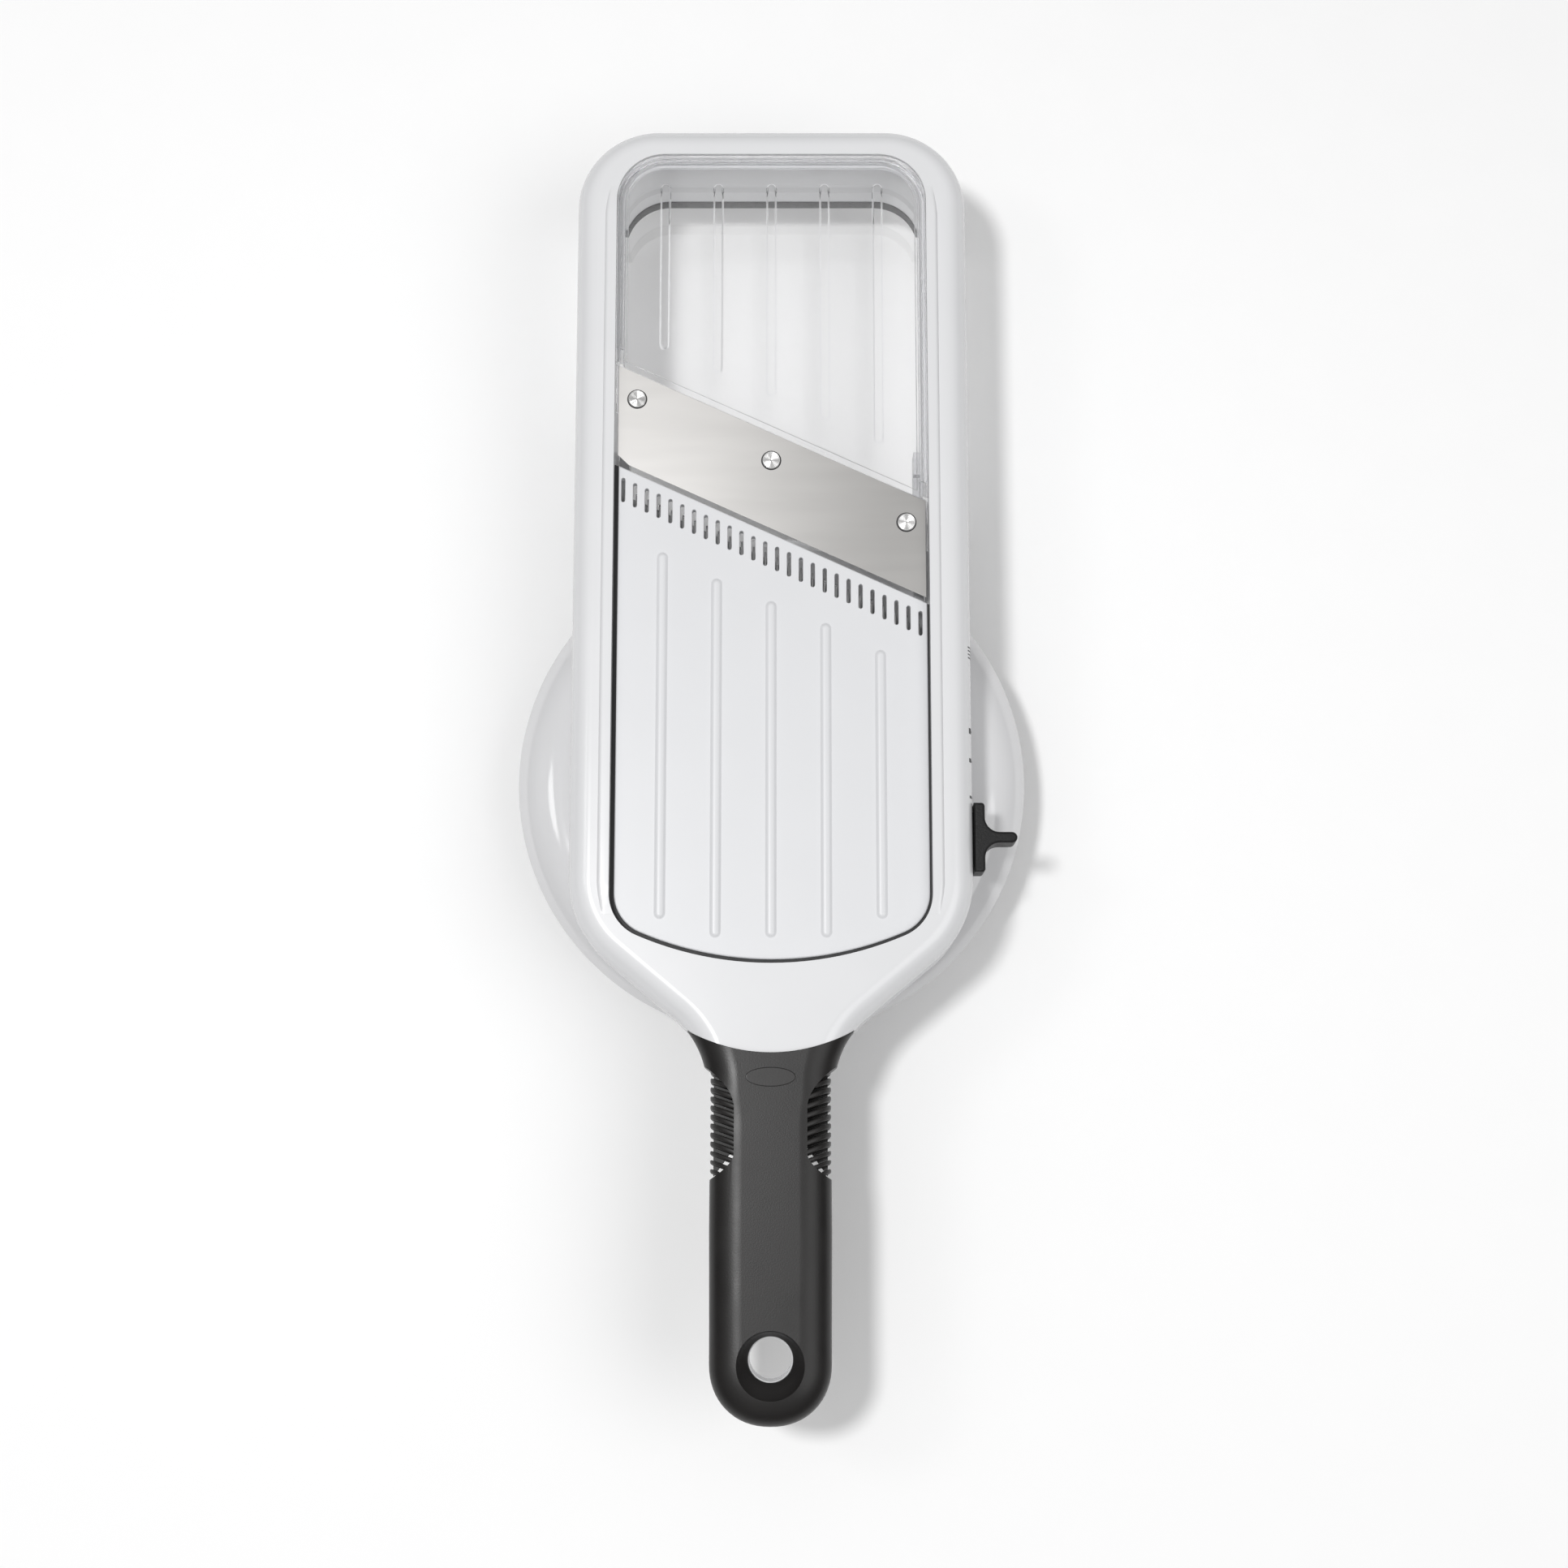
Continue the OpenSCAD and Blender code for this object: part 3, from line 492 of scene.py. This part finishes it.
def ridge(x, y0, y1, z, width=3.0, height=0.62, profile=SOFT_RIDGE):
    """A long low ridge with round ends, standing on z."""
    outline = tidy_loop(capsule(x, y0, y1, width / 2))
    rings = [[(px, py, z - 0.3) for px, py in outline]]
    for t, lift in profile:
        rings.append([(px, py, z + height * lift) for px, py in inset(outline, t * width / 2)])
    return loft("ridge", rings)


# ---------------------------------------------------------------- frame

# where the beads beside the runway rise, and to what part of their height
BEAD_RUN = ((-44, 0.05), (-42, 0.3), (-39, 0.75), (-36, 1),
            (148, 1), (151, 0.75), (154, 0.3), (156, 0.05))
# hollows in the underside of the walls: their ceiling, and the inner and outer side of the long ones
HOLLOW_TOP, RAIL_IN, RAIL_OUT = 51.6, 44.4, 50.9
FOOT_Y, FOOT_LOW, FOOT_TOP = 156, 20, 33
LEDGE_LOW, LEDGE_TOP = 47.6, 48.45
# heights below and above the frame, for cutting right through it
BELOW, ABOVE = 20, 70


def make_frame():
    body = slab("frame_body", frame_outline(), FRAME_LOW, FRAME_TOP, RIM_R, 0.8, 10)
    for side in (-1, 1):
        rings = []
        for y, k in BEAD_RUN:
            rise = (BEAD_TOP - FRAME_TOP) * k
            out_x = OPEN_W + 3.1 * (0.6 + 0.4 * k)
            profile = [(OPEN_W - 1.5, FRAME_TOP - 0.6), (OPEN_W - 1.5, FRAME_TOP + rise),
                       (out_x - 1.1, FRAME_TOP + rise), (out_x - 0.6, FRAME_TOP + rise * 0.86),
                       (out_x - 0.25, FRAME_TOP + rise * 0.5), (out_x, FRAME_TOP - 0.02),
                       (out_x, FRAME_TOP - 0.6)]
            rings.append([(side * x, y, z) for x, z in profile])
        add(body, loft("bead", rings))
    cut(body, prism("hole", opening(0), BELOW, ABOVE))
    # joint with the grip
    beyond = arc(0, JOINT_Y, JOINT_R, 229, 311, 40)
    edge_y = beyond[0][1]
    cut(body, prism("joint", beyond + [(60, edge_y), (60, -140), (-60, -140), (-60, edge_y)], 0, 90))
    # underside rises towards the grip
    start, end = -60.5, -110
    end_z = FRAME_LOW + (start - end) * math.tan(math.radians(15))
    wedge = [(start, FRAME_LOW), (end, end_z), (end, 10), (start, 10)]
    cut(body, loft("slope", [[(x, y, z) for y, z in wedge] for x in (-60, 60)]))
    for side in (-1, 1):
        x0, x1 = sorted((side * RAIL_IN, side * RAIL_OUT))
        cut(body, block("rail", x0, x1, -41.5, 147.5, BELOW, HOLLOW_TOP, 0.4))
        neck = [(2, -61), (20, -58.4), (33, -54.2), (37.5, -54.6), (39.3, -55.6), (20.3, -70.6), (2, -75)]
        cut(body, prism("neck", [(side * x, y) for x, y in neck], BELOW, 51.2))
        x0, x1 = sorted((side * 3, side * 28))
        cut(body, block("pocket", x0, x1, 168.6, 171.2, BELOW, HOLLOW_TOP, 0.4))
        x0, x1 = sorted((side * 36, side * 45))
        cut(body, block("window", x0, x1, -46.5, 7, 37.3, 40.7, 0.2))
    cut(body, block("lever_slot", 49.5, 60, -30.8, 32.4, 44.3, 47.9, 0.6))
    # foot wall round the far end
    outer = [p for p in opening(-2.6) if p[1] > FOOT_Y]
    inner = [p for p in opening(0.05) if p[1] > FOOT_Y]
    join(body, prism("foot", outer + inner[::-1], FOOT_LOW, FOOT_TOP))
    # narrow ledge that carries the clear ramp's edge
    outer = clip(opening(-0.5), 1, BLADE_FAR + 6)
    ledge = prism("ledge_ring", outer, LEDGE_LOW, LEDGE_TOP)
    cut(ledge, prism("inside", clip(opening(1.75), 1, BLADE_FAR - 9), 40, 60))
    join(body, ledge)
    for side, near in ((-1, 108), (1, 84)):
        x0, x1 = sorted((side * 41, side * 42.3))
        join(body, block("ledge", x0, x1, near, 150, 46.4, 48.2, 0.2))
        for x in (-15, 15):
            mid = x + side * 4.2
            join(body, block("guide", mid - 0.8, mid + 0.8, -57.4, -53.6, 31, 41.8, 0.2))
    # liner of the hang hole with a groove at half its height, and the tang inside the grip
    bevelled, groove = HANG_R + 0.2, HANG_R + 0.22
    liner = [(bevelled, 38), (7, 38), (7, 51), (bevelled, 51), (HANG_R, 50.8), (HANG_R, 44.75),
             (groove, 44.65), (groove, 44.35), (HANG_R, 44.25), (HANG_R, 38.2)]
    join(body, lathe("liner", liner, (0, HANG_Y), 72, closed=True))
    join(body, block("tang", -7.5, 7.5, -150.5, -76, 42, 50, 0.8))
    body.name = "frame_body"
    return smooth(body, 32, 0.22, 2)


# ---------------------------------------------------------------- grip

POCKET_TOP, POCKET_LOW, POCKET_X = -83.2, -112.2, 9.4
FINS, FIRST_FIN, FIN_PITCH = 12, -85.5, 2.3
FIN_LEAN, FIN_MID = 0.36, 12.5
OVAL_X, OVAL_Y, OVAL_MID = 6.45, 2.5, -86


def pocket_x(y):
    """Inner edge of the fin pocket: straight in the middle and curving out at both ends."""
    if y > -93.7:
        t = (y + 93.7) / (POCKET_TOP + 93.7)
        return POCKET_X + 7.6 * t ** 1.9
    if y < -105.6:
        t = (-105.6 - y) / (-105.6 - POCKET_LOW)
        return POCKET_X + 6.6 * t ** 1.7
    return POCKET_X


def fin(side, y, thickness):
    """One flexible fin: the grip's own section beyond the pocket's inner edge, its outer end leaning
    towards the frame."""
    x_in = pocket_x(y) - 0.8
    centre = GRIP_W - 0.05 - CROWN
    limit = math.acos((x_in - centre) / CROWN)
    upper, lower = [], []
    for k in range(11):
        a = limit * k / 10
        drop = RIM_R * (1 - math.sin(a)) + 0.12
        upper.append((centre + CROWN * math.cos(a), GRIP_Z1 - drop))
        lower.append((centre + CROWN * math.cos(a), GRIP_Z0 + drop))
    outline = anticlockwise(tidy_loop(upper + lower[::-1]))
    rings = []
    for across, shrink in ((-0.5, 0.42), (-0.42, 0.16), (-0.22, 0), (0.22, 0), (0.42, 0.16), (0.5, 0.42)):
        rings.append([(side * x, y + across * thickness + FIN_LEAN * (x - FIN_MID), z)
                      for x, z in inset(outline, shrink)])
    return loft("fin", rings)


def make_grip():
    outline = anticlockwise(tidy_loop(grip_outline()))
    turns = quarter_turn(10)
    rings = [edge_ring(outline, GRIP_Z0, a, CROWN, RIM_R) for a in turns[:0:-1]]
    rings += [edge_ring(outline, GRIP_Z1, a, CROWN, -RIM_R) for a in turns]
    body = loft("handle_grip_body", rings)
    cut(body, prism("seat", arc(0, JOINT_Y, JOINT_R + 0.12, 0, 360, 160), 0, 90))
    cut(body, prism("above", [(-60, JOINT_TOP), (60, JOINT_TOP), (60, -20), (-60, -20)], 0, 90))
    for side in (-1, 1):
        ys = [POCKET_TOP + (POCKET_LOW - POCKET_TOP) * k / 28 for k in range(29)]
        edge = [(side * pocket_x(y), y) for y in ys]
        cut(body, prism("pocket", edge + [(side * 30, POCKET_LOW), (side * 30, POCKET_TOP)], 0, 90))
    # hang hole, whose dish is wider towards the grip's end
    dish = []
    for r, z, shift in ((5.7, 20, 0), (5.7, 51.6, 0), (5.95, 52.1, 0.05), (7.2, 53.2, 0.7),
                        (8.1, 54.2, 1.3), (8.55, 54.75, 1.5), (9.1, 55.4, 1.6), (9.1, 60, 1.6)):
        dish.append(ellipse(r, r, HANG_Y - shift, z))
    cut(body, loft("dish", dish))
    smooth(body, 38, 0.35, 3)
    extras = [block("web", -10.5, 10.5, -103.5, -84, 44.8, 47.2, 0.4)]
    for side in (-1, 1):
        # wall behind the fins, which leaves the lowest gaps open at their inner ends
        wall = [(9.5, -83), (14.7, -83), (14.7, -111), (9.5, -103.8)]
        extras.append(prism("wall", anticlockwise([(side * x, y) for x, y in wall]), 43, 49))
        for k in range(FINS):
            extras.append(fin(side, FIRST_FIN - FIN_PITCH * k, 1.5 if k < FINS - 3 else 1.2))
    # blank oval on the collar
    rings = []
    for shrink, lift in ((0, -0.3), (0, 0.02), (0.06, 0.07), (0.3, 0.09)):
        rings.append(ellipse(OVAL_X - shrink, OVAL_Y - shrink, OVAL_MID, GRIP_Z1 + lift))
    extras.append(loft("oval", rings))
    fins = extras[0]
    join(fins, *extras[1:])
    fins.name = "grip_fins"
    smooth(fins, 50)
    return body, fins


# ---------------------------------------------------------------- runway

COMB = 26
PITCH = 3.175
# the deck sits a little to the right and towards the far end in its opening
DECK_SHIFT_X, DECK_SHIFT_Y = 0.3, 0.35
SLOT_REACH, SLOT_R = 3.35, 0.55
RIVET_X = (-36.2, 0, 36.2)


def comb_x(i):
    return (i - (COMB - 1) / 2) * PITCH


def comb_y(x):
    return 52.4 - 0.4625 * x


def deck_loop(gap, line_y):
    """The deck's outline with a gap to the opening, up to the blade's parallel through line_y."""
    return clip([(x + DECK_SHIFT_X, y + DECK_SHIFT_Y) for x, y in opening(gap)], -1, line_y)


def make_deck():
    deck = slab("deck_plate", deck_loop(0.85, DECK_EDGE), DECK_TOP - 2.5, DECK_TOP, 0.5, 0.3, 4)
    slots = []
    for i in range(COMB):
        x = comb_x(i)
        y = comb_y(x)
        slots.append(prism("slot", capsule(x, y - SLOT_REACH, y + SLOT_REACH, SLOT_R, 6), 40, 60))
    cut(deck, join(*slots))
    smooth(deck, 32, 0.1, 1)
    far = (53.5, 46.3, 40.1, 34.1, 26.8)
    near = (-45, -49.9, -49.9, -49.9, -45)
    ridges = [ridge(x, n, f, DECK_TOP) for x, n, f in zip(RIDGE_X, near, far)]
    join(ridges[0], *ridges[1:])
    ridges[0].name = "deck_ridges"
    smooth(ridges[0], 60)
    # lugs for the cam followers, guide tabs at the near end and ribs
    under = []
    root = DECK_TOP - 2.2
    for side in (-1, 1):
        for y, z in ((8.5, 46.5), (26.5, 42.5)):
            x0, x1 = sorted((side * 38.4, side * 41.6))
            under.append(block("lug", x0, x1, y - 2, y + 2, z - 2.3, root, 0.3))
    for x in (-15, 15):
        under.append(block("tab", x - 3, x + 3, -54.6, -52.8, 38.2, root, 0.3))
    for x in (-22, 0, 22):
        under.append(block("rib", x - 0.8, x + 0.8, -48, 30, DECK_TOP - 3.9, root, 0.2))
    join(under[0], *under[1:])
    under[0].name = "deck_underside"
    smooth(under[0], 32)
    return deck, ridges[0], under[0]


def make_deck_gap_shade():
    """Painted shade: a dark strip laid in the gap round the deck, standing in for the shadow inside the gap.
    """
    outer = clip(opening(0.02), -1, DECK_EDGE)
    shade_strip = prism("deck_gap_shade", outer, DECK_TOP - 1.5, DECK_TOP - 0.9)
    cut(shade_strip, prism("deck", deck_loop(0.8, DECK_EDGE + 3), 40, 60))
    shade_strip.name = "deck_gap_shade"
    return shade_strip


def make_ramp():
    """The clear tray behind the blade: a stepped rim, a sunk floor with ridges and a notch in its lip."""
    lip = BLADE_FAR + 0.2
    inside = BLADE_FAR - 5
    step_z, floor_z, rim_z, over = 52.7, 50.2, 53.6, 56
    ramp = slab("ramp_tray", clip(opening(0.15), 1, BLADE_FAR - 13), RUNWAY_Z - 2.5, rim_z, 0.35, 0.3, 3)
    near_side = clip([(-60, 0), (60, 0), (60, 200), (-60, 200)], -1, lip)
    cut(ramp, prism("seat", near_side, RUNWAY_Z - 0.9, ABOVE))
    cut(ramp, slab("step", clip(opening(1.2), 1, inside), step_z, over, 0, 0.3, 3))
    cut(ramp, slab("recess", clip(opening(2.1), 1, inside), RUNWAY_Z, over, 0, 0.5, 4))
    cut(ramp, slab("tray", clip(opening(2.7), 1, lip + 1.8), floor_z, over, 0, 0.5, 4))
    near = (110.5, 103.8, 97.1, 90.5, 83.9)
    for x, n in zip(RIDGE_X, near):
        add(ramp, ridge(x, n, 158.3, floor_z, 2.9, 0.95, STEEP_RIDGE))
    edge = [(x, lip - SLOPE * x) for x in (6.3, 16.6)]
    notch = [(x, y - 0.3) for x, y in edge] + [(x, y + 0.9) for x, y in edge[::-1]]
    cut(ramp, prism("notch", notch, 50.55, 60))
    ramp.name = "ramp_tray"
    return smooth(ramp, 32, 0.12, 2)


def rivet_y(x):
    return 79.1 - 0.475 * x


def make_rivets():
    """Rivet heads with turned faces, and flat dark rings of painted shade in the gaps round them."""
    heads, gaps = [], []
    z = RUNWAY_Z
    for x in RIVET_X:
        face = [(0, z + 0.36), (0.25, z + 0.38)]
        for k in range(7):
            r = 0.45 + 0.26 * k
            face += [(r, z + 0.44), (r + 0.13, z + 0.4)]
        face += [(2.3, z + 0.42), (2.42, z + 0.34), (2.45, z + 0.2), (2.45, z - 0.2), (1.45, z - 0.3),
                 (1.45, z - 3.2), (2.3, z - 3.25), (2.4, z - 3.4), (2.0, z - 3.6), (0, z - 3.7)]
        heads.append(lathe("rivet", face, (x, rivet_y(x)), 56))
        # painted shade: a thin dark ring in the gap round each head
        ring = [(2.4, z - 0.05), (2.4, z + 0.06), (2.68, z + 0.06), (2.72, z - 0.05)]
        gaps.append(lathe("ring", ring, (x, rivet_y(x)), 56, closed=True))
    join(heads[0], *heads[1:])
    join(gaps[0], *gaps[1:])
    heads[0].name, gaps[0].name = "rivet_heads", "rivet_gap_shade"
    smooth(heads[0], 20)
    smooth(gaps[0], 30)
    return heads[0], gaps[0]


def make_lever():
    plate, tip, half, fillet, reach = 56.2, 64.7, 1.45, 3.9, 9.2
    right = [(53.35, LEVER_Y - reach), (plate - 0.9, LEVER_Y - reach)]
    right += arc(plate - 0.9, LEVER_Y - reach + 0.9, 0.9, -90, 0, 5)
    right += arc(plate + fillet, LEVER_Y - half - fillet, fillet, 180, 90, 10)
    right += arc(tip - half, LEVER_Y, half, -90, 0, 6)
    upper = [(x, 2 * LEVER_Y - y) for x, y in right][::-1]
    lever = slab("lever_tab", right + upper, 41, 50.2, 0.7, 0.7, 5)
    stem = block("stem", 48.2, 54.5, LEVER_Y - 7, LEVER_Y + 7, 44.6, 47.6, 0.3)
    join(lever, stem)
    lever.name = "lever_tab"
    return smooth(lever, 40)


def make_brim():
    """The food holder's round brim: flat in the middle and curving down outside, with a rounded edge."""
    top, thick, flat, edge, drop = 30.8, 2.2, 56.5, 69.3, 7.4
    low = top - thick
    sweep = ((edge - flat) ** 2 + drop ** 2) / (2 * drop)
    end = 90 - math.degrees(math.asin((edge - flat) / sweep)) * 0.985
    upper = [(0, top), (20, top), (40, top), (flat - 4, top)]
    upper += arc(flat, top - sweep, sweep, 90, end, 22)
    end_x, end_z = upper[-1]
    lower = arc(flat, top - sweep, sweep - thick, end, 90, 18)
    low_x, low_z = lower[0]
    nose = [((end_x + low_x) / 2 + 0.75, (end_z + low_z) / 2 - 0.55), (low_x + 0.5, low_z - 0.15)]
    profile = upper + nose + lower + [(flat - 4, low), (40, low), (20, low), (0, low)]
    profile = [(min(r, edge), z) for r, z in profile]
    brim = lathe("brim_disc", profile, (0, -4.3), 192)
    for side in (-1, 1):
        x0, x1 = sorted((side * 39.8, side * 41.95))
        join(brim, block("rib", x0, x1, -34, -10, top - 1, top + 4, 0.5))
    brim.name = "brim_disc"
    return smooth(brim, 35)


def mark(y, width, z0, z1):
    """A printed bar on the rounded upper edge of the right wall."""
    rings = []
    for k in range(6):
        z = z0 + (z1 - z0) * k / 5
        rise = max(0.0, z - FRAME_TOP + RIM_R)
        x = HALF_W - RIM_R + math.sqrt(RIM_R ** 2 - rise ** 2)
        x0, x1 = x - 0.2, x + 0.03
        y0, y1 = y - width / 2, y + width / 2
        rings.append([(x0, y0, z), (x1, y0, z), (x1, y1, z), (x0, y1, z)])
    return loft("mark", rings)


def make_marks():
    """Plain marks above the lever's slot: four thin bars, then three pairs of a wide and a thin bar."""
    marks = [mark(26.2 + (k - 1.5) * 0.95, 0.32, 48.4, 51.2) for k in range(4)]
    for y, width in ((5.0, 1.5), (-2.9, 1.1), (-12.7, 0.7)):
        marks += [mark(y, width, 49.9, 51.2), mark(y, 0.26, 48.4, 49.5)]
    join(marks[0], *marks[1:])
    marks[0].name = "lever_marks"
    return smooth(marks[0], 30)


def soften(name, bevel):
    """Rounds the edges of a CAD node that stays, with modifiers only."""
    obj = NODES[name]
    weld = obj.modifiers.new("weld", "WELD")
    weld.merge_threshold = 2e-6
    mod = obj.modifiers.new("bevel", "BEVEL")
    mod.width = bevel * MM
    mod.segments = 2
    mod.limit_method = "ANGLE"
    mod.angle_limit = math.radians(38)
    normals = obj.modifiers.new("normals", "WEIGHTED_NORMAL")
    normals.keep_sharp = True


# ---------------------------------------------------------------- pieces

place(make_frame(), "frame", white_gloss, "frame_shell")
grip, fins = make_grip()
place(grip, "frame", soft_grip, "handle_grip")
place(fins, "frame", fin_rubber, "handle_grip")
deck, deck_ridges, deck_under = make_deck()
place(deck, "deck", deck_white, "runway_deck")
place(deck_ridges, "deck", deck_white, "runway_deck")
place(deck_under, "deck", inner_white, "runway_deck")
ramp = make_ramp()
place(ramp, "frame", clear_plastic, "clear_ramp")
ramp.data.materials.append(clear_edge)
for face in ramp.data.polygons:
    face.material_index = 0 if abs(face.normal.z) > 0.97 else 1
place(make_deck_gap_shade(), "frame", painted_gap_shade)
rivets, rivet_gap_shade = make_rivets()
place(rivets, "frame", bright_steel, "blade_rivets")
place(rivet_gap_shade, "frame", painted_gap_shade)
place(make_lever(), "carriage", black_plastic, "thickness_lever")
place(make_brim(), "food_holder", brim_white, "holder_brim")
place(make_marks(), "frame", print_ink)

for bevel, names in (
    (0.03, ("julienne_blades",)),
    (0.04, ("holder_prongs",)),
    (0.05, ("detent_spring",)),
    (0.1, ("cutting_blade", "cover_screws", "lever_screws", "tie_screws")),
    (0.15, ("follower_pins", "comb_pins")),
    (0.2, ("left_cam_plate", "right_cam_plate", "cam_cross_tie", "comb_carrier", "holder_screws")),
    (0.3, ("left_rail_cover", "right_rail_cover", "prong_plate")),
    (0.4, ("knob_grip",)),
    (0.5, ("tip_foot",)),
    (0.8, ("holder_knob",)),
):
    for name in names:
        soften(name, bevel)


# ---------------------------------------------------------------- stage, lights and camera

def floor():
    half = 3000
    corners = [(-half, -half, 0), (half, -half, 0), (half, half, 0), (-half, half, 0)]
    obj = mesh_object("floor", corners, [(0, 1, 2, 3)])
    obj.data.materials.append(surface("floor_paint", (0.95, 0.95, 0.95), 0.8, vary=0.004, bump=0.02))


floor()


LAMP_AIM = (0, 0, 0.03)


def lamp(name, place_at, size, watts):
    data = bpy.data.lights.new(name, "AREA")
    data.shape = "DISK"
    data.size = size
    data.energy = watts
    obj = bpy.data.objects.new(name, data)
    bpy.context.scene.collection.objects.link(obj)
    obj.location = place_at
    obj.rotation_euler = (Vector(LAMP_AIM) - Vector(place_at)).to_track_quat("-Z", "Y").to_euler()


lamp("key", (-0.31, -0.02, 1.25), 0.14, 7.1)
lamp("fill", (0.75, -0.25, 1.2), 0.9, 3.9)
lamp("strip", (-0.62, 0.12, 0.95), 0.22, 0.5)

world = bpy.data.worlds.new("studio")
bpy.context.scene.world = world
world.use_nodes = True
sky = world.node_tree
direction = sky.nodes.new("ShaderNodeTexCoord")
split = sky.nodes.new("ShaderNodeSeparateXYZ")
sky.links.new(direction.outputs["Generated"], split.inputs["Vector"])
dome = sky.nodes.new("ShaderNodeValToRGB")
dome.color_ramp.interpolation = "EASE"
for element, position, grey in zip(dome.color_ramp.elements, (0.15, 0.95), (0.16, 1)):
    element.position = position
    element.color = (grey, grey, grey, 1)
sky.links.new(split.outputs["Z"], dome.inputs["Fac"])
sky.links.new(dome.outputs["Color"], sky.nodes["Background"].inputs["Color"])
sky.nodes["Background"].inputs["Strength"].default_value = 0.64
bpy.context.scene.view_settings.view_transform = "Standard"

TILT = math.radians(10)
DISTANCE = 0.65
aim = Vector((3.43, -9.95, 55)) * MM
away = Vector((0, -math.sin(TILT), math.cos(TILT)))
camera = bpy.data.objects.new("camera", bpy.data.cameras.new("camera"))
bpy.context.scene.collection.objects.link(camera)
camera.location = aim + away * DISTANCE
camera.rotation_euler = (-away).to_track_quat("-Z", "Y").to_euler()
camera.data.lens = 57.15
camera.data.sensor_width = 36
camera.data.clip_end = 20
bpy.context.scene.camera = camera

bpy.context.view_layer.update()
